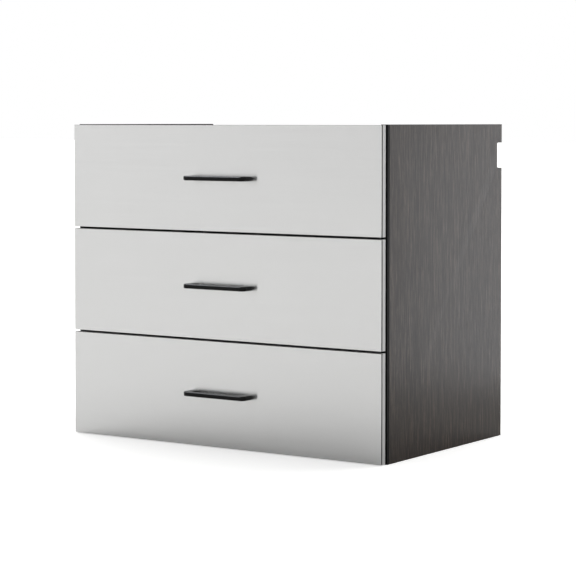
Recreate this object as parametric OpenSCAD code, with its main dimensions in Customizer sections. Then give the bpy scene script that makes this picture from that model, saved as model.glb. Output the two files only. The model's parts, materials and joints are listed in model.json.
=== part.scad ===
// Drawer base cabinet: an open-topped carcass with three drawers on ball-bearing slides.
// The origin is the middle of the carcass's footprint, on the floor. The fronts face -Y.

/* [Carcass] */
// Width of the carcass, over both side boards
cabinet_w = 900; // [600:10:1200]
// Height of the carcass
cabinet_h = 770; // [720:5:900]
// Thickness of the carcass boards
board_t = 18; // [16:0.5:22]
// Thickness of the bands on the front edges
edge_band_t = 3; // [1:0.5:4]
// Thickness of the back panel
back_t = 8; // [4:0.5:10]
// Distance from the rear edges of the sides to the back panel
back_inset = 34; // [28:1:40]
// Space between the rear ends of the slides and the back panel
rear_space = 43; // [40:1:120]
// Depth of the grooves that hold the back panel
groove_depth = 6; // [4:0.5:8]
// Distance of the rails and the back panel below the top of the sides
top_drop = 4; // [2:0.5:10]
// Height of the rear top rail
rear_rail_h = 100; // [80:5:140]

/* [Wall rail notch] */
// Height of the notch in the rear edge of each side
notch_h = 62; // [40:1:80]
// Depth of the notch
notch_d = 23; // [12:1:26]
// Distance of the notch below the top of the sides
notch_drop = 45; // [25:1:70]
// Radius of the notch's inner corners
notch_r = 4; // [2:0.5:8]

/* [Front top rail] */
// Thickness of the rail's sheet steel
rail_sheet_t = 1.5; // [1:0.1:2.5]
// Depth of the rail, front to back
rail_d = 60; // [50:1:90]
// Height of the rail's skirts
rail_skirt = 25; // [20:1:26]
// Distance of the rail behind the front edges of the sides
rail_setback = 6; // [4:1:20]
// Distance of the two worktop slots from the outer faces of the sides
worktop_slot_inset = 130; // [60:5:250]
// Width of a worktop slot
worktop_slot_w = 5.5; // [4:0.5:8]
// Length of a worktop slot, end to end
worktop_slot_len = 22; // [12:1:40]

/* [Leg holes] */
// Diameter of the four holes for legs, under the bottom panel
leg_hole_d = 10; // [6:0.5:12]
// Depth of the leg holes
leg_hole_depth = 12; // [8:1:13]
// Distance of the leg holes from the outer faces of the sides
leg_inset_x = 80; // [60:1:150]
// Distance of the leg holes from the front and rear edges of the sides
leg_inset_y = 79; // [70:1:95]

/* [Fronts] */
// Thickness of a front's board
front_board_t = 16; // [14:0.5:22]
// Thickness of the steel sheet on a front
front_sheet_t = 1; // [0.6:0.1:1.5]
// Width of the dark groove between the sheet and the board's edge band
seam_w = 2; // [1:0.1:3]
// Depth of that groove
seam_depth = 1.5; // [0.5:0.1:3]
// Gap between two fronts
front_gap = 5; // [2:0.5:6]
// Distance of the fronts inside the carcass's outline, at both sides and at the bottom
reveal = 2; // [1:0.5:4]
// Distance of the top front's upper edge below the top of the sides
top_reveal = 1.5; // [0:0.5:4]
// Gap between the fronts and the carcass
front_standoff = 6; // [2:0.5:6]

/* [Handles] */
// Distance between a handle's two screws
handle_pitch = 160; // [96:32:320]
// Distance from the front to the outer face of the handle
handle_reach = 33; // [28:1:45]
// Height of the handle's bar and feet
bar_h = 11; // [9:0.5:16]
// Thickness of the handle's bar, front to back
bar_t = 11; // [8:0.5:13]
// Width of each foot
foot_w = 20; // [14:0.5:24]
// Radius of the handle's outer corners
handle_corner_r = 12; // [8:0.5:14]
// Radius of the finger gap's corners
gap_corner_r = 6; // [3:0.5:10]
// Radius of the edges round the handle's outside
outer_edge_r = 3; // [1:0.5:4]
// Radius of the edges round the finger gap
gap_edge_r = 1.5; // [0.5:0.5:2.5]

/* [Drawer boxes] */
// Height of the drawer boxes
box_h = 170; // [140:5:180]
// Height of a box's underside above the lower edge of its front
box_rise = 30; // [28:1:36]
// Thickness of the sheet steel of the boxes
box_sheet_t = 1.2; // [0.8:0.1:1.6]
// Width of the flanges along the edges of the walls
flange_w = 14; // [10:1:18]
// Height of the ribs pressed into the floors
rib_h = 2; // [1:0.5:4]
// Width of a floor's rib at its foot
rib_w = 24; // [16:1:40]

/* [Slides] */
// Length of a slide, which sets the length of the drawer boxes and the depth of the carcass
slide_len = 450; // [350:50:550]
// Width that a slide takes between the side board and the drawer box
slide_w = 12.7; // [12.7:0.1:13.5]
// Height of a slide
slide_h = 45.4; // [45.4:0.2:47]
// Height of a slide's middle above the underside of its drawer box
slide_rise = 55; // [45:1:75]
// Distance of the slides behind the front edges of the sides
slide_setback = 3; // [2:0.5:6]
// Diameter of the slides' balls
ball_d = 4.6; // [4.2:0.1:4.8]
// Thickness of the rubber stops at the rear of the slides
stop_t = 8; // [4:1:12]

/* [Hidden] */
$fn = 48;
LEVELS = ["bottom", "middle", "top"];
CARCASS_NODES = [
    "side_panel_left", "side_panel_right", "bottom_panel", "back_panel",
    "front_top_rail", "rear_top_rail", "front_edge_bands",
    "cam_locks", "cam_bolts", "dowels", "rail_screws", "slide_screws", "slide_stops"
];
DRAWER_NODES = [
    "front_board", "front_sheet", "handle", "front_wall", "left_wall", "right_wall",
    "back_wall", "floor", "fixings", "bumpers",
    "slide_outer", "slide_middle", "slide_inner", "ball_cages_outer", "ball_cages_inner"
];

// Clearance of a piece that is glued or pressed into its seat
fit = 0.1;
// Clearance between a piece that moves and the piece that it stops on
rest_gap = 0.3;
// Length that a cut runs past the face that it opens
past = 1;
// Extra depth of a blind hole, below what stands in it
hole_play = 0.5;
// Clearance all round a screw that passes freely through its hole
screw_play = 0.5;

// Places in the carcass, and the depth of its side boards with their front bands
carcass_d = slide_setback + slide_len + rear_space + back_t + back_inset;
inner_w = cabinet_w - 2 * board_t;
y_front = -carcass_d / 2;
y_rear = carcass_d / 2;
y_board = y_front + edge_band_t;
y_back = y_rear - back_inset;
rail_top = cabinet_h - top_drop;
rear_rail_y = y_back - back_t - board_t;
rear_rail_z = rail_top - rear_rail_h / 2;

// Places of the fronts
front_h = (cabinet_h - reveal - top_reveal - 2 * front_gap) / 3;
front_w = cabinet_w - 2 * reveal;
y_front_back = y_front - front_standoff;
y_sheet = y_front_back - front_board_t;
y_face = y_sheet - front_sheet_t;
function front_z(i) = reveal + i * (front_h + front_gap);
function box_z(i) = front_z(i) + box_rise;
function slide_z(i) = box_z(i) + slide_rise;

// Places of the drawer boxes, which are as long as their slides
box_len = slide_len;
box_w = inner_w - 2 * slide_w;
y_box = y_front_back;
y_box_end = y_box + box_len;
wall_inner = box_w / 2 - box_sheet_t;
hem = 7;
fold_r = 1.6;
floor_side_gap = fold_r - box_sheet_t / 2 + rest_gap;
rib_places = [-0.3, 0, 0.3];

// Places and lengths of the slides
slide_t = 1.2;
y_slide = y_front + slide_setback;
member_len = slide_len - stop_t - rest_gap;
slide_overlap = 10;
travel = slide_len - slide_overlap;
cage_margin = 3;
cage_start = travel / 4 + cage_margin;
cage_len = member_len - travel / 2 - 2 * cage_margin;
cage_t = 0.5;
cage_gap = 0.25;
balls_in_row = 9;
slide_screw_first = 37;
slide_screw_second = 229;
slide_screw_last = slide_len - 29;
slide_screw_places = [slide_screw_first, slide_screw_second, slide_screw_last];
web_slot_len = 18;
web_slot_w = 6;
web_slot_spread = 140;
driver_hole_r = 4.5;

// Sections of the slides: u runs inwards from the side board, v upwards from the slide's middle
ball_r = ball_d / 2;
race_gap = 0.4;
outer_ball_shift = 0.65;
inner_ball_shift = 0.1;
outer_lip_drop = 0.9;
middle_lip_rise = 2.1;
middle_lip_inset = 2.3;
inner_lip_rise = 2;
bend_r = 1.2;
outer_flange_v = slide_h / 2 - slide_t / 2;
outer_ball_v = slide_h / 2 - slide_t - race_gap - ball_r;
outer_ball_u = slide_t + cage_gap + cage_t + ball_r + outer_ball_shift;
outer_lip_u = outer_ball_u + ball_r + race_gap + slide_t / 2;
middle_web_u = slide_t + 2 * cage_gap + cage_t + slide_t / 2;
middle_flange_v = outer_ball_v - ball_r - race_gap - slide_t / 2;
middle_lip_u = slide_w - middle_lip_inset;
inner_lip_u = middle_web_u + slide_t + 2 * cage_gap + cage_t;
inner_ball_v = middle_flange_v - slide_t / 2 - race_gap - ball_r;
inner_ball_u = inner_lip_u + slide_t / 2 + ball_r + inner_ball_shift;
inner_flange_v = inner_ball_v - ball_r - race_gap - slide_t / 2;
inner_web_u = slide_w - slide_t / 2;

// Fasteners
dowel_r = 4;
dowel_len = 30;
dowel_in_side = 12;
cam_r = 7.5;
cam_bolt_r = 3.5;
cam_h = board_t / 2 + cam_bolt_r;
cam_reach = 24;
cam_thread_r = 2.5;
cam_thread_len = 10.5;
slide_screw_r = 1.9;
slide_screw_head_r = 3.5;
slide_screw_len = 14;
rail_screw_r = 2;
rail_screw_len = 14;
rail_screw_spread = 30;
handle_screw_r = 2;
handle_screw_grip = 10;
front_screw_r = 1.8;
front_screw_grip = 13;
front_screw_inset_x = 90;
front_screw_inset_z = 32;
rivet_r = 2;
rivet_head_r = 3.4;
rivet_head_h = 1.2;
rivet_tail_r = 3;
rivet_tail_h = 1;
pan_head_r = 4;
pan_head_h = 2.2;
recess_w = 4;
recess_t = 1;
recess_depth = 1;
bumper_r = 5;
bumper_inset = 20;
cam_inset_front = 70;
cam_inset_rear = 60;
cam_places = [y_front + cam_inset_front, 0, y_back - back_t - cam_inset_rear];
dowel_to_cam = 50;
dowel_places = [cam_places[0] + dowel_to_cam, cam_places[2] - dowel_to_cam];
rear_rail_dowel_drop = 28;

// Unit vector along v
function unit(v) = v / norm(v);

// Points of one side of a folded sheet's bend at path[i]; side is 1 on the left, -1 on the right
function bend_points(path, i, side, t, r) =
    let (
        a = unit(path[i] - path[i - 1]),
        b = unit(path[i + 1] - path[i]),
        turn = sign(cross(a, b)),
        angle = acos(a * b),
        left = [-a.y, a.x],
        centre = path[i] - a * r * tan(angle / 2) + left * turn * r,
        radius = r - turn * side * t / 2
    )
    [for (step = [0 : 4])
        let (swing = turn * angle * step / 4, from = -turn * left)
        centre + radius * [from.x * cos(swing) - from.y * sin(swing),
                           from.x * sin(swing) + from.y * cos(swing)]];

// One side of a folded sheet, from the path's first point to its last
function sheet_side(path, side, t, radii) =
    let (
        last = len(path) - 1,
        a = unit(path[1] - path[0]),
        b = unit(path[last] - path[last - 1])
    )
    concat(
        [path[0] + side * t / 2 * [-a.y, a.x]],
        [for (i = [1 : last - 1]) each bend_points(path, i, side, t, radii[i - 1])],
        [path[last] + side * t / 2 * [-b.y, b.x]]
    );

function reversed(list) = [for (i = [len(list) - 1 : -1 : 0]) list[i]];

// Section of a sheet folded along a path, with a radius at each bend, both at the sheet's middle
module folded_section(path, t, radii) {
    polygon(concat(sheet_side(path, 1, t, radii), reversed(sheet_side(path, -1, t, radii))));
}

// Section in X and Z, drawn along Y
module along_y(y, length) {
    translate([0, y + length, 0]) rotate([90, 0, 0]) linear_extrude(length) children();
}

// Section in Y and Z, drawn along X and centred
module along_x(length) {
    translate([-length / 2, 0, 0]) rotate([90, 0, 90]) linear_extrude(length) children();
}

// Frame of one side of the carcass: X runs inwards from the inner face of its side board
module at_side(side) {
    translate([side * inner_w / 2, 0, 0]) mirror([side > 0 ? 1 : 0, 0, 0]) children();
}

module both_sides() {
    at_side(-1) children();
    at_side(1) children();
}

// Screw along Z with a flat head, its top at the origin; extra widens it to make its hole
module flat_screw(r, head_r, length, extra = 0) {
    head_h = head_r - r;
    translate([0, 0, -head_h]) cylinder(h = head_h, r1 = r + extra, r2 = head_r + extra);
    translate([0, 0, -length]) cylinder(h = length - head_h, r = r + extra);
}

// Screw along Z with a pan head that stands on the origin
module pan_screw(r, length) {
    difference() {
        union() {
            cylinder(h = pan_head_h, r = pan_head_r);
            translate([0, 0, -length]) cylinder(h = length, r = r);
        }
        translate([0, 0, pan_head_h]) cross_recess();
    }
}

// Cross recess of a screwdriver, cut down from the origin
module cross_recess() {
    for (turn = [0, 90]) rotate([0, 0, turn]) cube([recess_w, recess_t, 2 * recess_depth], center = true);
}

// Hole from a side board's inner face into the board
module side_hole(y, z, r, depth) {
    translate([-depth, y, z]) rotate([0, 90, 0]) cylinder(h = depth + past, r = r + fit);
}

// Hole from an end face of a cross board, along X
module end_hole(y, z, r, depth) {
    translate([-past, y, z]) rotate([0, 90, 0]) cylinder(h = depth + past, r = r + fit);
}

module notch_cut() {
    translate([-board_t / 2, y_rear, cabinet_h - notch_drop - notch_h])
        along_x(board_t + 2 * past) {
            translate([-notch_d + notch_r, 0]) square([notch_d - notch_r + past, notch_h]);
            translate([-notch_d, notch_r]) square([notch_d, notch_h - 2 * notch_r]);
            translate([-notch_d + notch_r, notch_r]) circle(notch_r);
            translate([-notch_d + notch_r, notch_h - notch_r]) circle(notch_r);
        }
}

module side_panel(side) {
    color("dimgray") at_side(side) difference() {
        translate([-board_t, y_board, 0]) cube([board_t, y_rear - y_board, cabinet_h]);
        notch_cut();
        translate([-groove_depth, y_back - back_t - fit, -past])
            cube([groove_depth + past, back_t + 2 * fit, cabinet_h + 2 * past]);
        for (y = cam_places) side_hole(y, board_t / 2, cam_thread_r, cam_thread_len + 2 * hole_play);
        for (y = dowel_places) side_hole(y, board_t / 2, dowel_r, dowel_in_side + hole_play);
        side_hole(rear_rail_y + board_t / 2, rear_rail_z, cam_thread_r, cam_thread_len + 2 * hole_play);
        side_hole(rear_rail_y + board_t / 2, rear_rail_z - rear_rail_dowel_drop,
                  dowel_r, dowel_in_side + hole_play);
        rail_screw_places() side_hole(0, 0, rail_screw_r, rail_screw_len);
        slide_screw_set(fit);
    }
}

module bottom_panel() {
    color("dimgray") difference() {
        translate([-inner_w / 2, y_board, 0]) cube([inner_w, y_rear - y_board, board_t]);
        translate([-inner_w / 2 - past, y_back - back_t - fit, board_t - groove_depth])
            cube([inner_w + 2 * past, back_t + 2 * fit, groove_depth + past]);
        both_sides() {
            for (y = cam_places) {
                end_hole(y, board_t / 2, cam_bolt_r, cam_reach);
                translate([cam_reach, y, -past]) cylinder(h = cam_h + past + fit, r = cam_r + fit);
            }
            for (y = dowel_places)
                end_hole(y, board_t / 2, dowel_r, dowel_len - dowel_in_side + hole_play);
        }
        for (x = [-1, 1], y = [-1, 1])
            translate([x * (cabinet_w / 2 - leg_inset_x), y * (carcass_d / 2 - leg_inset_y), -past])
                cylinder(h = leg_hole_depth + past, d = leg_hole_d);
    }
}

module back_panel() {
    w = inner_w + 2 * groove_depth - 2 * fit;
    z = board_t - groove_depth;
    color("darkgray") translate([-w / 2, y_back - back_t, z]) cube([w, back_t, rail_top - z]);
}

module rear_top_rail() {
    color("dimgray") difference() {
        translate([-inner_w / 2, rear_rail_y, rail_top - rear_rail_h])
            cube([inner_w, board_t, rear_rail_h]);
        both_sides() {
            end_hole(rear_rail_y + board_t / 2, rear_rail_z, cam_bolt_r, cam_reach);
            end_hole(rear_rail_y + board_t / 2, rear_rail_z - rear_rail_dowel_drop,
                     dowel_r, dowel_len - dowel_in_side + hole_play);
            translate([cam_reach, rear_rail_y - past, rear_rail_z]) rotate([-90, 0, 0])
                cylinder(h = cam_h + past + fit, r = cam_r + fit);
        }
    }
}

module rail_screw_places() {
    for (y = [-1, 1])
        translate([0, y_front + rail_setback + rail_d / 2 + y * rail_screw_spread / 2,
                   rail_top - rail_skirt / 2])
            children();
}

// Folded channel, open below, with its ends turned down against the side boards
module front_top_rail() {
    flange = rail_d / 2 - rail_sheet_t / 2;
    end_gap = 0.5;
    tab_inset = 4;
    color("silver") difference() {
        union() {
            translate([0, y_front + rail_setback + rail_d / 2, rail_top])
                along_x(inner_w - 2 * rail_sheet_t - 2 * end_gap)
                    folded_section([[-flange, -rail_skirt], [-flange, -rail_sheet_t / 2],
                                    [flange, -rail_sheet_t / 2], [flange, -rail_skirt]],
                                   rail_sheet_t, [fold_r, fold_r]);
            both_sides() translate([0, 0, rail_top])
                along_y(y_front + rail_setback + tab_inset, rail_d - 2 * tab_inset)
                    folded_section([[rail_sheet_t / 2, -rail_skirt],
                                    [rail_sheet_t / 2, -rail_sheet_t / 2],
                                    [2 * fold_r + rail_sheet_t, -rail_sheet_t / 2]],
                                   rail_sheet_t, [fold_r]);
        }
        for (x = [-1, 1])
            translate([x * (cabinet_w / 2 - worktop_slot_inset), y_front + rail_setback + rail_d / 2,
                       rail_top - rail_sheet_t - past])
                slot(worktop_slot_len, worktop_slot_w, rail_sheet_t + 2 * past);
        both_sides() rail_screw_places() translate([-past, 0, 0]) rotate([0, 90, 0])
            cylinder(h = rail_sheet_t + 2 * past, r = rail_screw_r + fit);
    }
}

// Round-ended slot along X, cut up from the origin
module slot(length, width, height) {
    linear_extrude(height) {
        square([length - width, width], center = true);
        for (x = [-1, 1]) translate([x * (length - width) / 2, 0]) circle(d = width);
    }
}

module front_edge_bands() {
    color([0.09, 0.09, 0.09]) {
        both_sides() translate([-board_t, y_front, 0]) cube([board_t, edge_band_t, cabinet_h]);
        translate([-inner_w / 2 + fit, y_front, 0]) cube([inner_w - 2 * fit, edge_band_t, board_t]);
    }
}

// Cam along Z, its turning face at the origin, with its pocket open towards -X
module cam() {
    pocket = cam_bolt_r + rest_gap;
    difference() {
        cylinder(h = cam_h, r = cam_r - fit);
        translate([-cam_r, -pocket, board_t / 2 - pocket])
            cube([cam_r + cam_bolt_r, 2 * pocket, 2 * pocket]);
        cross_recess();
    }
}

module cam_locks() {
    color("silver") both_sides() {
        for (y = cam_places) translate([cam_reach, y, 0]) cam();
        translate([cam_reach, rear_rail_y, rear_rail_z]) rotate([-90, 0, 0]) cam();
    }
}

// Bolt along X, from its thread in a side board to its head in the cam
module cam_bolt() {
    neck = 5;
    neck_r = 2;
    head = 3;
    end = cam_reach + 2;
    rotate([0, 90, 0]) {
        translate([0, 0, -cam_thread_len]) cylinder(h = cam_thread_len, r = cam_thread_r);
        cylinder(h = end - neck - head, r = cam_bolt_r - fit);
        translate([0, 0, end - neck - head]) cylinder(h = neck, r = neck_r);
        translate([0, 0, end - head]) cylinder(h = head, r = cam_bolt_r - fit);
    }
}

module cam_bolts() {
    color("darkgray") both_sides() {
        for (y = cam_places) translate([0, y, board_t / 2]) cam_bolt();
        translate([0, rear_rail_y + board_t / 2, rear_rail_z]) cam_bolt();
    }
}

module dowel() {
    translate([-dowel_in_side, 0, 0]) rotate([0, 90, 0]) cylinder(h = dowel_len, r = dowel_r);
}

module dowels() {
    color("burlywood") both_sides() {
        for (y = dowel_places) translate([0, y, board_t / 2]) dowel();
        translate([0, rear_rail_y + board_t / 2, rear_rail_z - rear_rail_dowel_drop]) dowel();
    }
}

module rail_screws() {
    color("silver") both_sides() rail_screw_places() translate([rail_sheet_t, 0, 0])
        rotate([0, 90, 0]) pan_screw(rail_screw_r, rail_sheet_t + rail_screw_len - past);
}

// Screws of one side's slides, heads flush with the inside of the slides' webs
module slide_screw_set(extra = 0) {
    for (i = [0 : len(LEVELS) - 1], y = slide_screw_places)
        translate([slide_t, y_front + y, slide_z(i)]) rotate([0, 90, 0])
            flat_screw(slide_screw_r, slide_screw_head_r, slide_screw_len, extra);
}

module slide_screws() {
    color("silver") both_sides() difference() {
        slide_screw_set();
        for (i = [0 : len(LEVELS) - 1], y = slide_screw_places)
            translate([slide_t, y_front + y, slide_z(i)]) rotate([0, 90, 0]) cross_recess();
    }
}

module slide_stops() {
    stop_h = 2 * inner_flange_v;
    color([0.12, 0.12, 0.12]) both_sides() for (i = [0 : len(LEVELS) - 1])
        translate([slide_t, y_slide + slide_len - stop_t, slide_z(i) - stop_h / 2])
            cube([slide_w - 2 * slide_t, stop_t, stop_h]);
}

module front_board() {
    color("gainsboro") difference() {
        union() {
            translate([-front_w / 2, y_sheet + seam_w, 0])
                cube([front_w, front_board_t - seam_w, front_h]);
            translate([-front_w / 2 + seam_depth, y_sheet, seam_depth])
                cube([front_w - 2 * seam_depth, seam_w, front_h - 2 * seam_depth]);
        }
        handle_screw_places() rotate([-90, 0, 0])
            cylinder(h = front_board_t + 2 * past, r = handle_screw_r + screw_play);
        front_screw_places() rotate([90, 0, 0])
            cylinder(h = front_screw_grip + hole_play, r = front_screw_r + fit);
    }
}

module front_sheet() {
    color("lightgray") difference() {
        translate([-front_w / 2, y_face, 0]) cube([front_w, front_sheet_t, front_h]);
        handle_screw_places() translate([0, -past, 0]) rotate([-90, 0, 0])
            cylinder(h = front_sheet_t + 2 * past, r = handle_screw_r + screw_play);
    }
}

// The two screw places of a handle, at the back of the steel sheet
module handle_screw_places() {
    for (x = [-1, 1]) translate([x * handle_pitch / 2, y_face, front_h / 2]) children();
}

// Places of the screws that hold a front to its drawer's front wall, at the board's back
module front_screw_places() {
    for (x = [-1, 1], z = [0, 1])
        translate([x * (box_w / 2 - front_screw_inset_x), y_front_back,
                   box_rise + (z == 0 ? front_screw_inset_z : box_h - front_screw_inset_z)])
            children();
}

// Half section of a rim, X outwards and centred on the X axis, with its outer corners rounded
module rim_section(w, h, r) {
    translate([0, -h / 2]) square([w - r, h]);
    translate([0, -h / 2 + r]) square([w, h - 2 * r]);
    for (y = [-1, 1]) translate([w - r, y * (h / 2 - r)]) circle(r);
}

// Half section of the cut that leaves such a rim round a gap
module gap_section(w, h, r) {
    difference() {
        translate([0, -h / 2 - past]) square([w + r, h + 2 * past]);
        translate([w + 2 * r, 0]) mirror([1, 0]) rim_section(2 * r, h, r);
    }
}

// Block from the front's face towards -Y, with two round corners: its middle is h high, and a
// half section as wide as the corner radius runs round its sides, its corners and its front
module swept_block(w, reach, corner_r, h) {
    half_w = w / 2 - corner_r;
    depth = reach - corner_r;
    translate([-half_w, -depth, -h / 2]) cube([2 * half_w, depth, h]);
    along_x(2 * half_w) translate([-depth, 0]) mirror([1, 0]) children();
    for (side = [0, 1]) mirror([side, 0, 0]) translate([half_w, -depth, 0]) {
        along_y(0, depth) children();
        rotate([0, 0, -90]) rotate_extrude(angle = 90) children();
    }
}

// Bar handle with a foot at each end, and its edges rounded outside and round the finger gap
module handle() {
    color([0.08, 0.08, 0.08]) translate([0, y_face, front_h / 2]) difference() {
        swept_block(handle_pitch + foot_w, handle_reach, handle_corner_r, bar_h)
            rim_section(handle_corner_r, bar_h, outer_edge_r);
        translate([0, past, 0])
            swept_block(handle_pitch - foot_w, handle_reach - bar_t + past, gap_corner_r,
                        bar_h + 2 * past)
                gap_section(gap_corner_r, bar_h, gap_edge_r);
        for (x = [-1, 1]) translate([x * handle_pitch / 2, past, 0]) rotate([90, 0, 0])
            cylinder(h = handle_screw_grip + past + 2 * hole_play, r = handle_screw_r + fit);
    }
}

// Wall across a drawer box: a sheet with flanges at its top and bottom; face is 1 or -1,
// the way that the flanges point along Y
module cross_wall(y, face) {
    middle = y + face * box_sheet_t / 2;
    edge = y + face * (flange_w - box_sheet_t / 2);
    low = box_rise + box_sheet_t / 2;
    high = box_rise + box_h - box_sheet_t / 2;
    along_x(2 * wall_inner - 2 * fit)
        folded_section([[edge, high - hem], [edge, high], [middle, high], [middle, low], [edge, low]],
                       box_sheet_t, [fold_r, fold_r, fold_r]);
}

module front_wall() {
    color("silver") difference() {
        cross_wall(y_box, 1);
        for (x = [-1, 1]) translate([x * handle_pitch / 2, y_box - past, front_h / 2])
            rotate([-90, 0, 0]) cylinder(h = box_sheet_t + 2 * past, r = handle_screw_r + screw_play);
        front_screw_places() translate([0, -past, 0]) rotate([-90, 0, 0])
            cylinder(h = box_sheet_t + 2 * past, r = front_screw_r + fit);
    }
}

module back_wall() {
    color("silver") cross_wall(y_box_end, -1);
}

// Side wall of a drawer box: a sheet with a flange along its bottom and a hemmed one along its top
module side_wall(side) {
    web = slide_w + box_sheet_t / 2;
    edge = slide_w + flange_w - box_sheet_t / 2;
    low = box_rise + box_sheet_t / 2;
    high = box_rise + box_h - box_sheet_t / 2;
    color("silver") at_side(side) difference() {
        along_y(y_box, box_len)
            folded_section([[edge, high - hem], [edge, high], [web, high], [web, low], [edge, low]],
                           box_sheet_t, [fold_r, fold_r, fold_r]);
        for (y = [y_box - past, y_box_end - flange_w - fit])
            translate([slide_w + box_sheet_t, y, 0])
                cube([flange_w, flange_w + fit + past, box_rise + box_h + past]);
        rivet_places() rotate([0, 90, 0])
            cylinder(h = box_sheet_t + 2 * past, r = rivet_r + fit);
    }
}

// Floor sheet with ribs pressed up along it, resting on the walls' bottom flanges
module box_floor() {
    half_w = wall_inner - floor_side_gap;
    z = box_rise + 1.5 * box_sheet_t;
    shoulder = rib_h * 2;
    ribs = [for (place = rib_places) let (x = place * box_w) each [
        [x - rib_w / 2, z], [x - rib_w / 2 + shoulder, z + rib_h],
        [x + rib_w / 2 - shoulder, z + rib_h], [x + rib_w / 2, z]
    ]];
    path = concat([[-half_w, z]], ribs, [[half_w, z]]);
    color("silver")
        along_y(y_box + box_sheet_t + floor_side_gap, box_len - 2 * box_sheet_t - 2 * floor_side_gap)
            folded_section(path, box_sheet_t, [for (i = [1 : len(ribs)]) fold_r]);
}

// Places of the rivets that hold a slide's inner member, at the outer face of a box's side wall
module rivet_places() {
    for (y = slide_screw_places)
        translate([slide_w - past, y_front + y, box_rise + slide_rise]) children();
}

// Rivet along Z: its head below the origin's side of a slide's web, its tail inside the wall
module rivet() {
    grip = slide_t + box_sheet_t;
    translate([0, 0, -rivet_head_h]) cylinder(h = rivet_head_h, r = rivet_head_r);
    cylinder(h = grip, r = rivet_r);
    translate([0, 0, grip]) cylinder(h = rivet_tail_h, r = rivet_tail_r);
}

module fixings() {
    color("silver") {
        for (x = [-1, 1])
            translate([x * handle_pitch / 2, y_front_back + box_sheet_t, front_h / 2])
                rotate([-90, 0, 0])
                    pan_screw(handle_screw_r, box_sheet_t + front_board_t + front_sheet_t
                              + handle_screw_grip);
        front_screw_places() translate([0, box_sheet_t, 0]) rotate([-90, 0, 0])
            pan_screw(front_screw_r, box_sheet_t + front_screw_grip);
        both_sides() for (y = slide_screw_places)
            translate([slide_w - slide_t, y_front + y, box_rise + slide_rise])
                rotate([0, 90, 0]) rivet();
    }
}

module bumpers() {
    x = cabinet_w / 2 - board_t / 2;
    color([0.2, 0.2, 0.2]) for (side = [-1, 1], z = [bumper_inset, front_h - bumper_inset])
        translate([side * x, y_front_back, z]) rotate([-90, 0, 0])
            cylinder(h = front_standoff - rest_gap, r = bumper_r);
}

module slide_outer() {
    lip = outer_ball_v - outer_lip_drop;
    race_r = ball_r + outer_lip_drop;
    path = [[outer_lip_u, lip], [outer_lip_u, outer_flange_v], [slide_t / 2, outer_flange_v],
            [slide_t / 2, -outer_flange_v], [outer_lip_u, -outer_flange_v], [outer_lip_u, -lip]];
    color("lightsteelblue") both_sides() difference() {
        along_y(y_slide, slide_len)
            folded_section(path, slide_t, [race_r, bend_r, bend_r, race_r]);
        for (y = slide_screw_places) translate([slide_t, y_front + y, 0]) rotate([0, 90, 0])
            flat_screw(slide_screw_r, slide_screw_head_r, slide_screw_len, fit);
        for (y = [-1, 1]) translate([-past, y_slide + slide_len / 2 + y * web_slot_spread / 2, 0])
            rotate([0, 90, 0]) slot_along_y(web_slot_len, web_slot_w, slide_t + 2 * past);
    }
}

// Round-ended slot along Y, cut up from the origin
module slot_along_y(length, width, height) {
    rotate([0, 0, 90]) slot(length, width, height);
}

module slide_middle() {
    lip = middle_flange_v + middle_lip_rise;
    path = [[middle_lip_u, lip], [middle_lip_u, middle_flange_v], [middle_web_u, middle_flange_v],
            [middle_web_u, -middle_flange_v], [middle_lip_u, -middle_flange_v], [middle_lip_u, -lip]];
    color("lightsteelblue") both_sides() difference() {
        along_y(y_slide, member_len) folded_section(path, slide_t, [for (i = [0 : 3]) bend_r]);
        for (y = slide_screw_places) translate([middle_web_u - slide_t, y_front + y, 0])
            rotate([0, 90, 0]) cylinder(h = 2 * slide_t, r = driver_hole_r);
    }
}

module slide_inner() {
    lip = inner_flange_v + inner_lip_rise;
    path = [[inner_lip_u, lip], [inner_lip_u, inner_flange_v], [inner_web_u, inner_flange_v],
            [inner_web_u, -inner_flange_v], [inner_lip_u, -inner_flange_v], [inner_lip_u, -lip]];
    color("lightsteelblue") both_sides() difference() {
        along_y(y_slide, member_len) folded_section(path, slide_t, [for (i = [0 : 3]) bend_r]);
        for (y = slide_screw_places) translate([inner_web_u - slide_t, y_front + y, 0])
            rotate([0, 90, 0]) cylinder(h = 2 * slide_t, r = rivet_r + fit);
    }
}

// Strip that holds two rows of balls: web_u is the middle of its web, edge_u its free edges
module ball_cage(web_u, edge_u, ball_u, ball_v) {
    path = [[edge_u, ball_v], [web_u, ball_v], [web_u, -ball_v], [edge_u, -ball_v]];
    pitch = cage_len / balls_in_row;
    along_y(y_slide + cage_start, cage_len) folded_section(path, cage_t, [bend_r, bend_r]);
    for (n = [0 : balls_in_row - 1], row = [-1, 1])
        translate([ball_u, y_slide + cage_start + (n + 0.5) * pitch, row * ball_v])
            sphere(r = ball_r);
}

module ball_cages_outer() {
    color("gray") both_sides()
        ball_cage(slide_t + cage_gap + cage_t / 2, outer_ball_u + ball_r + race_gap / 4,
                  outer_ball_u, outer_ball_v);
}

module ball_cages_inner() {
    color("gray") both_sides()
        ball_cage(middle_web_u + slide_t / 2 + cage_gap + cage_t / 2,
                  inner_ball_u + ball_r + race_gap / 4, inner_ball_u, inner_ball_v);
}

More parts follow.
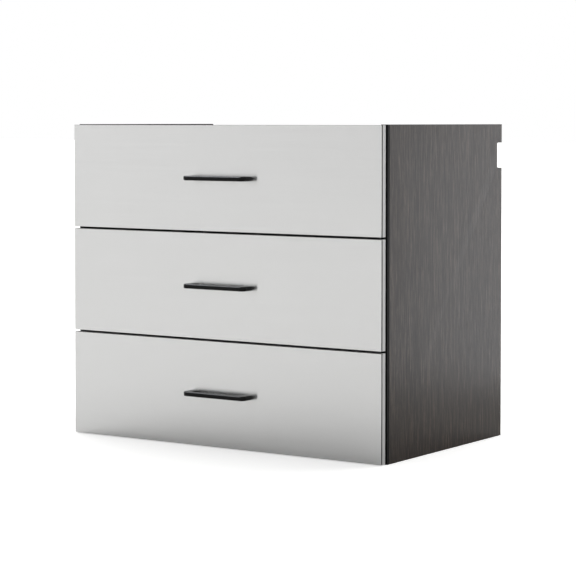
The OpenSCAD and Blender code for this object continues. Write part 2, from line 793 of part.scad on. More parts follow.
side_panel(-1);  // side_panel_left
side_panel(1);  // side_panel_right
bottom_panel();
back_panel();
front_top_rail();
rear_top_rail();
front_edge_bands();
cam_locks();
cam_bolts();
dowels();
rail_screws();
slide_screws();
slide_stops();
for (i = [0 : len(LEVELS) - 1]) {
    level = LEVELS[i];
    translate([0, 0, front_z(i)]) {
        front_board();
        front_sheet();
        handle();
        front_wall();
        side_wall(-1);
        side_wall(1);
        back_wall();
        box_floor();
        fixings();
        bumpers();
    }
    translate([0, 0, slide_z(i)]) {
        slide_outer();
        slide_middle();
        slide_inner();
        ball_cages_outer();
        ball_cages_inner();
    }
}
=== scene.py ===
"""Drawer base cabinet: finishes, softened edges and stage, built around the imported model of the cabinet."""

import json
import math

import bmesh
import bpy
from bpy.props import FloatProperty, FloatVectorProperty, PointerProperty
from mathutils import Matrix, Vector

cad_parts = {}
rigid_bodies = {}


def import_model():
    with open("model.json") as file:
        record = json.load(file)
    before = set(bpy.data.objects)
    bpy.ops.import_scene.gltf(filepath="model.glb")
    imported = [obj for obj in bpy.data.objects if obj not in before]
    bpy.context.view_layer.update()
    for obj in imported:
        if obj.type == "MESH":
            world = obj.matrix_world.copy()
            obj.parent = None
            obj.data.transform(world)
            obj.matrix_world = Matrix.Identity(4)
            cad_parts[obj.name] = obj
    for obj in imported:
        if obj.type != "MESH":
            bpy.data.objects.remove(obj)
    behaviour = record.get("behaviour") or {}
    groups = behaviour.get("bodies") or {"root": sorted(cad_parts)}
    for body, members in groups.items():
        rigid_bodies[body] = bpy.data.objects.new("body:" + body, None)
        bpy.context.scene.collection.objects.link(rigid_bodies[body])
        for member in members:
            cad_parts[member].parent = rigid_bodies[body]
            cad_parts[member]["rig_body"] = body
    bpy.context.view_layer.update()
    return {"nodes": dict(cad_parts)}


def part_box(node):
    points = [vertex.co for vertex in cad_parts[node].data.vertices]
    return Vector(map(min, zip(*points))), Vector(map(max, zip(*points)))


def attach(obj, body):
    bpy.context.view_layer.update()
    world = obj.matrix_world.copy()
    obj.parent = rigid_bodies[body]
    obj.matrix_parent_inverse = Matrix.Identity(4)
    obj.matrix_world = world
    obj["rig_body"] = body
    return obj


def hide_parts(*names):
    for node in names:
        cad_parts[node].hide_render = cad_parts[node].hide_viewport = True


bl_info = {
    "name": "Drawer Base Cabinet",
    "version": (1, 0, 0),
    "blender": (4, 5, 0),
    "location": "View3D > Sidebar > Cabinet",
    "description": "Finishes, softened edges and stage for a drawer base cabinet",
    "category": "Object",
}

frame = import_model()
NODES = frame["nodes"]
LEVELS = ("top", "middle", "bottom")
WHITE = (1.0, 1.0, 1.0)
BLACK = (0.0, 0.0, 0.0)

# Sockets of a Mix node that blends colours
MIX_FACTOR, MIX_FIRST, MIX_SECOND, MIX_RESULT = 0, 6, 7, 2

# Limits of the softened pieces, in metres and radians
MERGE_DISTANCE = 1e-6
SHORTEST_EDGE = 0.012
FLAT_ANGLE = math.radians(0.3)
SMOOTH_ANGLE = math.radians(25.0)
CORNER_ANGLE = math.radians(60.0)

# Roughness of a surface that mirrors nothing
MATT = 0.9

# How far the sheen of the brushing is turned, as a share of a full turn
BRUSH_TURN = 0.25

# Edge of the darker surroundings in front: cosine of the angle from -Y, and the blur on either side
FRONT_EDGE, FRONT_BLUR = 0.81, 0.05

# How far the camera sees, in metres
CAMERA_REACH = 200.0


# Nodes of materials and of the world

class Value:
    """An output socket whose operators add Math nodes."""

    def __init__(self, graph, socket):
        self.graph = graph
        self.socket = socket

    def _math(self, operation, *terms):
        return self.graph.node("ShaderNodeMath", {"operation": operation}, dict(enumerate(terms)))

    def __add__(self, other):
        return self._math("ADD", self, other)

    def __sub__(self, other):
        return self._math("SUBTRACT", self, other)

    def __rsub__(self, other):
        return self._math("SUBTRACT", other, self)

    def __mul__(self, other):
        return self._math("MULTIPLY", self, other)

    __radd__ = __add__
    __rmul__ = __mul__

    def above(self, edge, blur):
        """0 below edge and 1 above it, smooth over blur on either side."""
        settings = {"interpolation_type": "SMOOTHSTEP"}
        inputs = {"Value": self, "From Min": edge - blur, "From Max": edge + blur}
        return self.graph.node("ShaderNodeMapRange", settings, inputs, "Result")


class Graph:
    """The node tree of a material or of the world."""

    def __init__(self, tree):
        self.tree = tree
        tree.nodes.clear()

    def feed(self, node, label, value):
        """Puts a number, a colour, a vector or another socket's value into a socket."""
        socket = node.inputs[label]
        if isinstance(value, Value):
            self.tree.links.new(value.socket, socket)
        elif socket.type == "RGBA":
            socket.default_value = (*value[:3], 1.0)
        else:
            socket.default_value = value

    def node(self, kind, settings, inputs, output=0):
        """Adds a node with its settings and inputs, and returns one of its outputs."""
        node = self.tree.nodes.new(kind)
        for label, value in settings.items():
            setattr(node, label, value)
        for label, value in inputs.items():
            self.feed(node, label, value)
        return Value(self, node.outputs[output]) if len(node.outputs) else node

    def rays(self, *kinds):
        """1 on rays of any of these kinds that no matt surface has scattered yet, and 0 on others."""
        total = 0.0
        for kind in kinds:
            total = self.node("ShaderNodeLightPath", {}, {}, f"Is {kind} Ray") + total
        scattered = self.node("ShaderNodeLightPath", {}, {}, "Diffuse Depth").above(0.5, blur=0.1)
        return total * (1 - scattered)


class Finish(Graph):
    """A material made of one Principled BSDF and the nodes that feed it."""

    def __init__(self, name, **sockets):
        self.material = bpy.data.materials.new(name)
        self.material.use_nodes = True
        super().__init__(self.material.node_tree)
        self.shader = self.tree.nodes.new("ShaderNodeBsdfPrincipled")
        surface = Value(self, self.shader.outputs["BSDF"])
        self.node("ShaderNodeOutputMaterial", {}, {"Surface": surface})
        self.place = self.node("ShaderNodeTexCoord", {}, {}, "Object")
        self.set(**sockets)

    def set(self, **sockets):
        """Feeds sockets of the shader by name, such as base_color or roughness."""
        for name, value in sockets.items():
            label = name.replace("_", " ").title().replace("Ior", "IOR")
            self.feed(self.shader, label, value)
        return self

    def axis(self, letter):
        """The distance from the origin along one axis, in metres."""
        return self.node("ShaderNodeSeparateXYZ", {}, {"Vector": self.place}, letter)

    def placed(self, scale):
        """Object coordinates, multiplied by one scale, or by one for each axis."""
        scales = scale if isinstance(scale, tuple) else (scale, scale, scale)
        return self.node("ShaderNodeMapping", {}, {"Vector": self.place, "Scale": scales})

    def noise(self, scale, detail=3.0, roughness=0.5):
        """Noise from 0 to 1, with so many waves to the metre."""
        inputs = {"Vector": self.placed(scale), "Scale": 1.0, "Detail": detail, "Roughness": roughness}
        return self.node("ShaderNodeTexNoise", {}, inputs, "Fac")

    def cells(self, scale):
        """A number from 0 to 1 for each of many irregular cells, with so many cells to the metre."""
        inputs = {"Vector": self.placed(scale), "Scale": 1.0}
        colour = self.node("ShaderNodeTexVoronoi", {}, inputs, "Color")
        return self.node("ShaderNodeSeparateColor", {}, {"Color": colour}, "Red")

    def blend(self, factor, first, second):
        """The first colour where factor is 0, and the second where it is 1."""
        inputs = {MIX_FACTOR: factor, MIX_FIRST: first, MIX_SECOND: second}
        return self.node("ShaderNodeMix", {"data_type": "RGBA"}, inputs, MIX_RESULT)

    def tinted(self, colour, amount):
        """The colour times 1 + amount, where amount is a value about 0."""
        return self.blend(amount * 0.5 + 0.5, BLACK, scaled(colour, 2.0, 2.0, 2.0))

    def bump(self, height, distance):
        """Raises the surface by distance, in metres, where height is 1."""
        inputs = {"Height": height, "Distance": distance, "Strength": 1.0}
        return self.set(normal=self.node("ShaderNodeBump", {}, inputs, "Normal"))


def scaled(colour, *shares):
    """The colour with its red, green and blue multiplied by their shares."""
    return tuple(part * share for part, share in zip(colour, shares))


def along(grain, fine, coarse):
    """Waves to the metre on X, Y and Z: coarse along the grain's axis, and fine across it."""
    return tuple(coarse if letter == grain else fine for letter in "XYZ")


# Finishes

def wood_effect(colours, sizes, name, grain):
    """Dark laminate printed with a fine, nearly straight grain along one axis, with black painted along its
    front edge as shade of the gap beside the fronts.
    """
    lines = 1.0 / sizes.grain_line
    finish = Finish(name, specular_ior_level=sizes.laminate_gloss)
    patches = finish.noise(along(grain, fine=14.0, coarse=2.2), detail=2.0)
    bands = finish.noise(along(grain, fine=lines / 9.0, coarse=1.1), roughness=0.6)
    fibres = finish.noise(along(grain, fine=lines, coarse=15.0), detail=4.0, roughness=0.7)
    pores = finish.noise(along(grain, fine=lines * 1.6, coarse=40.0), detail=1.0).above(0.66, blur=0.04)
    tone = (bands - 0.5) * 0.4 + (fibres - 0.5) * 2.7
    body = finish.blend(patches.above(0.5, blur=0.16), colours.laminate, colours.laminate_cool)
    grained = finish.blend(tone + 0.5, colours.laminate_dark, body)
    lit = finish.blend((tone - 0.1).above(0.18, blur=0.25), grained, colours.laminate_light)
    printed = finish.blend(pores * 0.45, lit, colours.laminate_dark)
    sheen = sizes.laminate_roughness - tone * 0.10 + pores * 0.12
    # Black past the edging band, along the front edge: painted shade of the gap beside the fronts
    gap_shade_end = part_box("front_edge_bands")[1][1] + sizes.gap_shade_wrap
    behind = finish.axis("Y").above(gap_shade_end, blur=0.0003)
    finish.set(
        base_color=finish.blend(behind, colours.edging_and_gap_shade, printed),
        roughness=(sheen - MATT) * behind + MATT,
    )
    return finish.bump(fibres - pores * 0.8, distance=0.00006).material


def board_face(colours):
    """Plain grey laminate of the back panel, with a fine even texture."""
    finish = Finish("Plain Grey Laminate", ior=1.45)
    clouds = finish.noise(6.0) - 0.5
    speckle = finish.noise(900.0, detail=2.0) - 0.5
    finish.set(
        base_color=finish.tinted(colours.back_board, clouds * 0.10 + speckle * 0.08),
        roughness=0.55 + speckle * 0.15,
    )
    return finish.bump(speckle, distance=0.00008).material


def black_edging(colours):
    """Thin matt black band that is rolled onto the edges of the carcass boards."""
    finish = Finish("Black Edging", specular_ior_level=0.1)
    drag = finish.noise((90.0, 900.0, 14.0)) - 0.5
    speckle = finish.noise(1400.0, detail=1.0) - 0.5
    finish.set(
        base_color=finish.tinted(colours.edging_and_gap_shade, drag * 0.12 + speckle * 0.08),
        roughness=0.42 + drag * 0.12,
    )
    return finish.bump(speckle, distance=0.00003).material


def metal_band(colours, sizes):
    """Metal-effect band on the edges of a front board, with fine lines along its length and painted shade in
    the groove behind the sheets.
    """
    finish = Finish("Metal Effect Edging", specular_ior_level=0.2)
    drag = finish.noise((60.0, 1400.0, 8.0), roughness=0.7) - 0.5
    speckle = finish.noise(1400.0, detail=1.0) - 0.5
    band = finish.tinted(colours.front_core, drag * 0.12 + speckle * 0.05)
    # Dark strip in the groove behind the sheet: painted shade
    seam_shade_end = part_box("front_sheet_top")[1][1] + sizes.seam_shade_width
    behind = finish.axis("Y").above(seam_shade_end, blur=0.0001)
    finish.set(
        base_color=finish.blend(behind, colours.seam, band),
        roughness=0.45 + drag * 0.10,
    )
    return finish.bump(drag + speckle * 0.5, distance=0.00002).material


def brushed_steel(colours, sizes):
    """Stainless sheet brushed along X."""
    lines = 1.0 / sizes.brush_line
    finish = Finish(
        "Brushed Steel", metallic=1.0, anisotropic=sizes.brush_spread, anisotropic_rotation=BRUSH_TURN
    )
    fine = finish.noise(along("X", fine=lines, coarse=9.0), roughness=0.75) - 0.5
    runs = finish.noise(along("X", fine=lines / 9.0, coarse=2.5), roughness=0.6) - 0.5
    clouds = finish.noise((1.6, 3.0, 2.2), detail=2.0) - 0.5
    finish.set(
        base_color=finish.tinted(colours.front_steel, fine * 0.08 + runs * 0.06 + clouds * 0.03),
        roughness=sizes.brush_roughness + fine * 0.08 + runs * 0.03,
    )
    return finish.bump(fine + runs * 0.5, distance=0.000012).material


def painted_edge_shade(colours):
    """Rounded top edge of a steel sheet, rougher than the face and painted dark as shade, with lines along X.
    """
    finish = Finish("Steel Edge Painted Shade", metallic=1.0)
    drag = finish.noise(along("X", fine=900.0, coarse=20.0)) - 0.5
    finish.set(
        base_color=finish.tinted(colours.steel_edge_shade, drag * 0.3),
        roughness=0.5 + drag * 0.2,
    )
    return finish.bump(drag, distance=0.00001).material


def satin_black(colours):
    """Satin black powder coat of the handles."""
    finish = Finish("Satin Black Coat", specular_ior_level=0.12)
    peel = finish.noise(700.0, detail=2.0) - 0.5
    grit = finish.noise(3200.0, detail=1.0) - 0.5
    rubbed = finish.noise(along("X", fine=60.0, coarse=30.0), detail=2.0).above(0.62, blur=0.12)
    finish.set(
        base_color=finish.tinted(colours.handle, grit * 0.2 + peel * 0.1),
        roughness=0.26 + peel * 0.10 - rubbed * 0.04,
    )
    return finish.bump(peel * 0.7 + grit * 0.3, distance=0.00003).material


def satin_sheet(colours):
    """Satin stainless sheet of the drawer boxes, with a fine rolled lay."""
    finish = Finish("Satin Steel Sheet", metallic=1.0)
    lay = finish.noise(along("Y", fine=60.0, coarse=9.0), detail=4.0, roughness=0.7) - 0.5
    fine = finish.noise(along("Y", fine=1100.0, coarse=40.0), detail=2.0) - 0.5
    smudge = finish.noise(7.0, detail=4.0).above(0.6, blur=0.15)
    finish.set(
        base_color=finish.tinted(colours.box_steel, lay * 0.10 + fine * 0.06),
        roughness=0.34 + lay * 0.10 + smudge * 0.05,
    )
    return finish.bump(fine, distance=0.00001).material


def galvanised(colours, sizes):
    """Galvanised sheet with a faint spangle."""
    flakes = 1.0 / sizes.spangle
    finish = Finish("Galvanised Sheet", metallic=1.0)
    flake = finish.cells(along("Y", fine=flakes, coarse=flakes * 0.8)) - 0.5
    frost = finish.noise(260.0, detail=4.0) - 0.5
    finish.set(
        base_color=finish.tinted(colours.galvanised, flake * 0.30 + frost * 0.12),
        roughness=0.42 + flake * 0.16 + frost * 0.10,
    )
    return finish.bump(flake * 0.4 + frost * 0.3, distance=0.00003).material


def zinc_plate(name, colour, roughness):
    """Bright zinc plate, with drawn lines along Y and a faint colour cast."""
    finish = Finish(name, metallic=1.0)
    drawn = finish.noise(along("Y", fine=700.0, coarse=12.0), roughness=0.7) - 0.5
    cast = finish.noise(along("Y", fine=24.0, coarse=9.0), detail=2.0)
    warm = scaled(colour, 1.04, 1.0, 0.90)
    cool = scaled(colour, 0.95, 1.0, 1.05)
    shade = finish.blend(cast.above(0.5, blur=0.2), warm, cool)
    dull = finish.blend(drawn.above(0.08, blur=0.2) * 0.3, shade, scaled(colour, 0.6, 0.6, 0.6))
    finish.set(base_color=dull, roughness=roughness + drawn * 0.14 + cast * 0.05)
    return finish.bump(drawn, distance=0.00002).material


def bright_balls(colours):
    """Polished steel of the balls and their cages, under a thin film of grease."""
    finish = Finish("Ball Bearing Steel", metallic=1.0)
    film = finish.noise(160.0) - 0.5
    finish.set(
        base_color=finish.tinted(colours.bearing, film * 0.18),
        roughness=0.18 + film * 0.14,
    )
    return finish.bump(film, distance=0.00001).material


def beech(colours):
    """Turned beech of the dowels, with short dark rays along X."""
    finish = Finish("Beech", ior=1.45)
    rings = finish.noise(along("X", fine=700.0, coarse=18.0)) - 0.5
    flecks = finish.noise(along("X", fine=2200.0, coarse=160.0), detail=1.0).above(0.64, blur=0.05)
    plain = finish.tinted(colours.beech, rings * 0.35)
    finish.set(
        base_color=finish.blend(flecks * 0.5, plain, scaled(colours.beech, 0.45, 0.45, 0.45)),
        roughness=0.62 + rings * 0.1,
    )
    return finish.bump(rings, distance=0.0001).material


def rubber(colours):
    """Matt black rubber."""
    finish = Finish("Matt Rubber", ior=1.5)
    bloom = finish.noise(240.0, detail=4.0) - 0.5
    finish.set(
        base_color=finish.tinted(colours.rubber, bloom * 0.5),
        roughness=0.78 + bloom * 0.2,
    )
    return finish.bump(bloom, distance=0.00006).material


# Pieces

def finish_nodes(names, material):
    """Gives CAD nodes a material."""
    for name in names:
        NODES[name].data.materials.clear()
        NODES[name].data.materials.append(material)


def soften(node, radius, slot, *materials):
    """Puts a copy with rounded edges in a CAD node's place. A second material goes on its top edges."""
    mesh = NODES[node].data.copy()
    mesh.name = f"{node}_soft"
    mesh.attributes.remove(mesh.attributes["custom_normal"])
    mesh.materials.clear()
    for material in materials:
        mesh.materials.append(material)
    bm = bmesh.new()
    bm.from_mesh(mesh)
    bmesh.ops.remove_doubles(bm, verts=bm.verts, dist=MERGE_DISTANCE)
    bmesh.ops.dissolve_limit(bm, angle_limit=FLAT_ANGLE, verts=bm.verts, edges=bm.edges)
    corners = [
        edge for edge in bm.edges
        if edge.is_manifold and edge.calc_face_angle() > CORNER_ANGLE and edge.calc_length() > SHORTEST_EDGE
    ]
    rounding = set(bmesh.ops.bevel(
        bm, geom=corners, offset=radius, affect="EDGES", segments=3, profile=0.5, material=-1,
        clamp_overlap=True,
    )["faces"])
    top = max(vert.co.z for vert in bm.verts)
    for face in bm.faces:
        face.smooth = True
        if len(materials) > 1 and face in rounding and face.calc_center_median().z > top - radius:
            face.material_index = 1
    for edge in bm.edges:
        square = len(edge.link_faces) == 2 and rounding.isdisjoint(edge.link_faces)
        edge.smooth = not (square and edge.calc_face_angle() > SMOOTH_ANGLE)
    bm.to_mesh(mesh)
    bm.free()
    piece = bpy.data.objects.new(f"{node}_soft", mesh)
    bpy.context.scene.collection.objects.link(piece)
    modifier = piece.modifiers.new("Flat Faces", "WEIGHTED_NORMAL")
    modifier.keep_sharp = True
    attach(piece, NODES[node]["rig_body"])
    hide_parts(node)


def each_level(*parts):
    """The names of parts on all three levels, one part after another."""
    return [f"{part}_{level}" for part in parts for level in LEVELS]


# Stage

def aim(obj, place, target):
    """Puts an object at a place and turns its -Z axis to a target."""
    obj.location = place
    obj.rotation_euler = (Vector(target) - Vector(place)).to_track_quat("-Z", "Y").to_euler()


def add_camera(stage):
    data = bpy.data.cameras.new("Camera")
    data.lens = stage.lens
    data.sensor_width = stage.sensor_width
    data.shift_y = stage.shift_y
    data.clip_end = CAMERA_REACH
    camera = bpy.data.objects.new("Camera", data)
    camera.location = stage.camera_place
    camera.rotation_euler = (math.pi / 2 - stage.pitch, 0.0, stage.yaw)
    bpy.context.scene.collection.objects.link(camera)
    bpy.context.scene.camera = camera


def add_floor(stage):
    bm = bmesh.new()
    bmesh.ops.create_grid(bm, x_segments=1, y_segments=1, size=stage.floor_size)
    mesh = bpy.data.meshes.new("Floor")
    bm.to_mesh(mesh)
    bm.free()
    floor = bpy.data.objects.new("Floor", mesh)
    bpy.context.scene.collection.objects.link(floor)
    finish = Finish("Pale Floor", base_color=stage.floor_colour, roughness=MATT, specular_ior_level=0.0)
    seen = finish.rays("Camera", "Transmission") * stage.floor_lift
    mirrored = finish.rays("Glossy") * stage.floor_gloss
    finish.set(emission_color=finish.blend(seen + mirrored, BLACK, WHITE), emission_strength=1.0)
    mesh.materials.append(finish.material)


def add_world(stage):
    world = bpy.data.worlds.new("Studio")
    world.use_nodes = True
    world.cycles.sampling_method = "NONE"
    graph = Graph(world.node_tree)
    direction = graph.node("ShaderNodeTexCoord", {}, {}, "Generated")
    forwards = 0.0 - graph.node("ShaderNodeSeparateXYZ", {}, {"Vector": direction}, "Y")
    bright = 1.0 - forwards.above(FRONT_EDGE, FRONT_BLUR) * stage.front_dim
    seen = graph.rays("Camera", "Transmission") + graph.rays("Glossy") * bright
    strength = seen * (1.0 - stage.fill) + stage.fill
    light = graph.node("ShaderNodeBackground", {}, {"Color": WHITE, "Strength": strength}, "Background")
    graph.node("ShaderNodeOutputWorld", {}, {"Surface": light})
    bpy.context.scene.world = world


def add_sun(stage):
    data = bpy.data.lights.new("Overhead Light", "SUN")
    data.energy = stage.sun_power
    data.angle = stage.sun_angle
    lamp = bpy.data.objects.new("Overhead Light", data)
    lamp.visible_glossy = False
    aim(lamp, stage.sun_from, (0.0, 0.0, 0.0))
    bpy.context.scene.collection.objects.link(lamp)


def add_softbox(name, colour, power, size, place, target, nodes=()):
    """Adds a softbox that shows in metal and gloss only, or only in those of some nodes."""
    data = bpy.data.lights.new(name, "AREA")
    data.shape = "RECTANGLE"
    data.color = colour
    data.energy = power
    data.size, data.size_y = size
    lamp = bpy.data.objects.new(name, data)
    lamp.visible_camera = False
    lamp.visible_diffuse = False
    aim(lamp, place, target)
    bpy.context.scene.collection.objects.link(lamp)
    if nodes:
        lit = bpy.data.collections.new(f"Lit by {name}")
        for node in nodes:
            lit.objects.link(NODES[node])
        lamp.light_linking.receiver_collection = lit


# Settings

def colour_prop(name, description, default):
    return FloatVectorProperty(
        name=name, description=description, default=default, subtype="COLOR", size=3, min=0.0, max=1.0
    )


def length_prop(name, description, default):
    return FloatProperty(name=name, description=description, default=default, unit="LENGTH", min=0.0)


def share_prop(name, description, default):
    return FloatProperty(
        name=name, description=description, default=default, subtype="FACTOR", min=0.0, max=1.0
    )


def angle_prop(name, description, degrees):
    return FloatProperty(
        name=name, description=description, default=math.radians(degrees), subtype="ANGLE"
    )


def power_prop(name, description, default):
    return FloatProperty(name=name, description=description, default=default, unit="POWER", min=0.0)


def place_prop(name, description, default):
    return FloatVectorProperty(
        name=name, description=description, default=default, subtype="TRANSLATION", unit="LENGTH"
    )


def size_prop(name, description, default):
    return FloatVectorProperty(name=name, description=description, default=default, size=2, unit="LENGTH")


class CabinetColours(bpy.types.PropertyGroup):
    """Colours of the cabinet's finishes, in linear light."""

    laminate: colour_prop("Laminate", "Main tone of the wood-effect laminate", (0.046, 0.032, 0.023))
    laminate_cool: colour_prop("Laminate, cool", "Cooler patches of the laminate", (0.040, 0.029, 0.022))
    laminate_dark: colour_prop("Laminate, dark", "Dark lines of the laminate", (0.012, 0.008, 0.006))
    laminate_light: colour_prop("Laminate, light", "Light lines of the laminate", (0.105, 0.080, 0.063))
    back_board: colour_prop("Back panel", "Plain laminate of the back panel", (0.42, 0.42, 0.41))
    # Also painted along the boards' front edge as shade of the gap beside the fronts
    edging_and_gap_shade: colour_prop("Edging", "Bands on the carcass's front edges", (0.010, 0.010, 0.010))
    front_steel: colour_prop("Front steel", "Brushed sheet on the fronts", (0.690, 0.690, 0.688))
    # Dark grey painted on the rounded top edges as shade
    steel_edge_shade: colour_prop("Steel edge", "Rounded top edge of the sheets on the fronts", (0.06, 0.06, 0.06))
    front_core: colour_prop("Front edges", "Bands round the front boards", (0.66, 0.66, 0.655))
    # Painted shade of the groove between the sheets and the front boards
    seam: colour_prop("Seam", "Dark line between the sheets and the front boards", (0.02, 0.02, 0.02))
    handle: colour_prop("Handles", "Satin coat of the handles", (0.006, 0.006, 0.006))
    box_steel: colour_prop("Drawer steel", "Sheet of the drawer boxes", (0.56, 0.57, 0.58))
    galvanised: colour_prop("Galvanised", "Sheet of the front top rail", (0.50, 0.52, 0.54))
    slide_zinc: colour_prop("Slides", "Zinc plate of the slides", (0.56, 0.58, 0.60))
    bearing: colour_prop("Bearings", "Steel of the balls and cages", (0.62, 0.62, 0.62))
    fastener: colour_prop("Fasteners", "Zinc plate of the fasteners", (0.52, 0.53, 0.55))
    beech: colour_prop("Dowels", "Beech of the dowels", (0.60, 0.42, 0.25))
    rubber: colour_prop("Rubber", "Stops and bumpers", (0.022, 0.022, 0.022))


class CabinetSizes(bpy.types.PropertyGroup):
    """Sizes of the cabinet's rounded edges and patterns, and how glossy they are."""

    # The black that reaches onto the side faces is painted shade of the gap beside the fronts
    gap_shade_wrap: length_prop("Edging wrap", "How far the black edging reaches onto the side faces", 0.005)
    # The dark line is painted shade of the groove behind the sheets
    seam_shade_width: length_prop("Seam width", "Width of the dark line behind the sheets", 0.0035)
    board_rounding: length_prop("Board rounding", "Radius of the edges of boards and bands", 0.0004)
    sheet_rounding: length_prop("Sheet rounding", "Radius of the edges of the steel sheets", 0.0009)
    grain_line: length_prop("Grain line", "Width of a light and a dark line of the grain", 0.0022)
    laminate_gloss: share_prop("Laminate gloss", "How much light the laminate mirrors", 0.16)
    laminate_roughness: share_prop("Laminate roughness", "How far the laminate blurs what it mirrors", 0.32)
    brush_line: length_prop("Brush line", "Width of a light and a dark line of the brushing", 0.0009)
    brush_roughness: share_prop("Brushed roughness", "Roughness of the brushed sheet", 0.2)
    brush_spread: share_prop("Brushed spread", "How much more the brushing blurs across itself", 0.75)
    spangle: length_prop("Spangle", "Width of a flake on galvanised sheet", 0.009)


class CabinetStage(bpy.types.PropertyGroup):
    """Camera, floor and lights."""

    lens: FloatProperty(name="Lens", description="Focal length, in millimetres", default=128.58)
    sensor_width: FloatProperty(name="Sensor", description="Sensor's width, in millimetres", default=36.0)
    shift_y: FloatProperty(name="Shift", description="Vertical shift of the lens", default=-0.16)
    camera_place: FloatVectorProperty(
        name="Camera place", description="Where the camera stands", default=(2.8664, -4.2232, 0.7780),
        subtype="TRANSLATION", unit="LENGTH",
    )
    yaw: angle_prop("Yaw", "Turn of the camera about Z", 34.207)
    pitch: angle_prop("Pitch", "Tilt of the camera below the horizon", 2.085)
    floor_size: length_prop("Floor", "Half the floor's width", 60.0)
    floor_colour: colour_prop("Floor colour", "Plain pale floor", (0.865, 0.865, 0.855))
    floor_lift: share_prop("Floor lift", "Light that the floor adds where the camera sees it", 0.60)
    floor_gloss: share_prop("Floor gloss", "Light that the floor adds where metal or gloss shows it", 0.08)
    fill: share_prop("Fill", "Light of the surroundings on matt surfaces", 0.28)
    front_dim: share_prop("Front dimming", "How much darker metal and gloss show what is in front", 0.28)
    sun_power: FloatProperty(name="Overhead power", description="Strength of the overhead light", default=4.1)
    sun_angle: angle_prop("Overhead size", "Angle that the overhead light fills", 110.0)
    sun_from: FloatVectorProperty(
        name="Overhead place", description="Direction that the overhead light comes from",
        default=(-0.50, 1.05, 0.75), subtype="XYZ",
    )
    softbox_colour: colour_prop("Softbox colour", "Cool light of the softboxes", (0.92, 0.95, 1.0))
    side_power: power_prop("Side power", "Power of the softbox that stands behind the right side", 3.2)
    side_size: size_prop("Side size", "Width and height of the side softbox", (0.55, 0.85))
    side_place: place_prop("Side place", "Where the side softbox stands", (0.855, 0.864, 0.45))
    side_aim: place_prop("Side aim", "Point that the side softbox faces", (0.325, 0.084, 0.45))
    strip_power: power_prop("Strip power", "Power of the softbox that lights only the handles", 110.0)
    strip_size: size_prop("Strip size", "Width and height of the softbox above the handles", (1.4, 1.4))
    strip_place: place_prop("Strip place", "Where the softbox above the handles hangs", (-1.0, -0.75, 1.9))
    strip_aim: place_prop("Strip aim", "Point that the softbox above the handles faces", (0.0, -0.32, 0.4))


# Operators

class CABINET_OT_stage(bpy.types.Operator):
    """Adds the camera, the floor, the surroundings and the lights."""

    bl_idname = "cabinet.stage"
    bl_label = "Stage"

    def execute(self, context):
        stage = context.scene.cabinet_stage
        add_camera(stage)
        add_floor(stage)
        add_world(stage)
        add_sun(stage)
        add_softbox(
            "Side Softbox", stage.softbox_colour, stage.side_power, stage.side_size, stage.side_place,
            stage.side_aim,
        )
        add_softbox(
            "Strip Softbox", stage.softbox_colour, stage.strip_power, stage.strip_size, stage.strip_place,
            stage.strip_aim, each_level("handle"),
        )
        return {"FINISHED"}


class CABINET_OT_boards(bpy.types.Operator):
    """Finishes the carcass boards and the bands on their front edges."""

    bl_idname = "cabinet.boards"
    bl_label = "Carcass boards"

    def execute(self, context):
        colours = context.scene.cabinet_colours
        sizes = context.scene.cabinet_sizes
        upright = wood_effect(colours, sizes, "Wood Effect Upright", "Z")
        for side in ("side_panel_left", "side_panel_right"):
            soften(side, sizes.board_rounding, "wood_effect", upright)
        lying = wood_effect(colours, sizes, "Wood Effect Lying", "X")
        finish_nodes(("bottom_panel", "rear_top_rail"), lying)
        finish_nodes(("back_panel",), board_face(colours))
        soften("front_edge_bands", sizes.board_rounding, "black_edging", black_edging(colours))
        return {"FINISHED"}


class CABINET_OT_fronts(bpy.types.Operator):
    """Finishes the front boards and their brushed steel sheets."""

    bl_idname = "cabinet.fronts"
    bl_label = "Fronts"

    def execute(self, context):
        colours = context.scene.cabinet_colours
        sizes = context.scene.cabinet_sizes
        steel = brushed_steel(colours, sizes)
        # The sheets' rounded top edges get a second material of painted shade
        edge_shade = painted_edge_shade(colours)
        band = metal_band(colours, sizes)
        for level in LEVELS:
            soften(f"front_sheet_{level}", sizes.sheet_rounding, "front_steel", steel, edge_shade)
            soften(f"front_board_{level}", sizes.board_rounding, "front_core", band)
        return {"FINISHED"}


class CABINET_OT_handles(bpy.types.Operator):
    """Finishes the three bar handles."""

    bl_idname = "cabinet.handles"
    bl_label = "Handles"

    def execute(self, context):
        finish_nodes(each_level("handle"), satin_black(context.scene.cabinet_colours))
        return {"FINISHED"}


class CABINET_OT_boxes(bpy.types.Operator):
    """Finishes the sheet steel of the drawer boxes."""

    bl_idname = "cabinet.boxes"
    bl_label = "Drawer boxes"

    def execute(self, context):
        walls = each_level("front_wall", "left_wall", "right_wall", "back_wall", "floor")
        finish_nodes(walls, satin_sheet(context.scene.cabinet_colours))
        return {"FINISHED"}


class CABINET_OT_slides(bpy.types.Operator):
    """Finishes the slides and their ball cages."""

    bl_idname = "cabinet.slides"
    bl_label = "Slides"

    def execute(self, context):
        colours = context.scene.cabinet_colours
        members = each_level("slide_outer", "slide_middle", "slide_inner")
        finish_nodes(members, zinc_plate("Bright Zinc Plate", colours.slide_zinc, roughness=0.28))
        finish_nodes(each_level("ball_cages_outer", "ball_cages_inner"), bright_balls(colours))
        return {"FINISHED"}


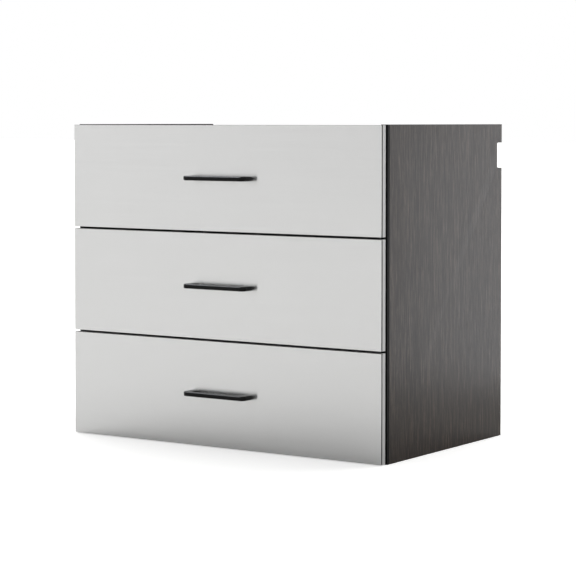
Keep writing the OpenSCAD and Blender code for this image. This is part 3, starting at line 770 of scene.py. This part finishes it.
class CABINET_OT_fittings(bpy.types.Operator):
    """Finishes the top rail, the fasteners, the dowels and the rubber parts."""

    bl_idname = "cabinet.fittings"
    bl_label = "Rail and fittings"

    def execute(self, context):
        colours = context.scene.cabinet_colours
        finish_nodes(("front_top_rail",), galvanised(colours, context.scene.cabinet_sizes))
        plated = zinc_plate("Zinc Plated Fasteners", colours.fastener, roughness=0.34)
        fasteners = ("cam_locks", "cam_bolts", "rail_screws", "slide_screws", *each_level("fixings"))
        finish_nodes(fasteners, plated)
        finish_nodes(("dowels",), beech(colours))
        finish_nodes(("slide_stops", *each_level("bumpers")), rubber(colours))
        return {"FINISHED"}


class CABINET_PT_panel(bpy.types.Panel):
    """Lists the cabinet's steps, colours and sizes."""

    bl_idname = "CABINET_PT_panel"
    bl_label = "Drawer Base Cabinet"
    bl_space_type = "VIEW_3D"
    bl_region_type = "UI"
    bl_category = "Cabinet"

    def draw(self, context):
        for step in OPERATORS:
            self.layout.operator(step.bl_idname)
        for name, kind in GROUPS.items():
            column = self.layout.box().column()
            for setting in kind.__annotations__:
                column.prop(getattr(context.scene, name), setting)


OPERATORS = (
    CABINET_OT_stage, CABINET_OT_boards, CABINET_OT_fronts, CABINET_OT_handles,
    CABINET_OT_boxes, CABINET_OT_slides, CABINET_OT_fittings,
)
GROUPS = {"cabinet_colours": CabinetColours, "cabinet_sizes": CabinetSizes, "cabinet_stage": CabinetStage}


def register():
    for kind in (*GROUPS.values(), *OPERATORS, CABINET_PT_panel):
        bpy.utils.register_class(kind)
    for name, group in GROUPS.items():
        setattr(bpy.types.Scene, name, PointerProperty(type=group))


def unregister():
    for name in GROUPS:
        delattr(bpy.types.Scene, name)
    for kind in (CABINET_PT_panel, *reversed(OPERATORS), *GROUPS.values()):
        bpy.utils.unregister_class(kind)


def main():
    """Runs every step in order."""
    register()
    bpy.context.scene.view_settings.view_transform = "Standard"
    bpy.ops.cabinet.stage()
    bpy.ops.cabinet.boards()
    bpy.ops.cabinet.fronts()
    bpy.ops.cabinet.handles()
    bpy.ops.cabinet.boxes()
    bpy.ops.cabinet.slides()
    bpy.ops.cabinet.fittings()


if __name__ == "__main__":
    main()
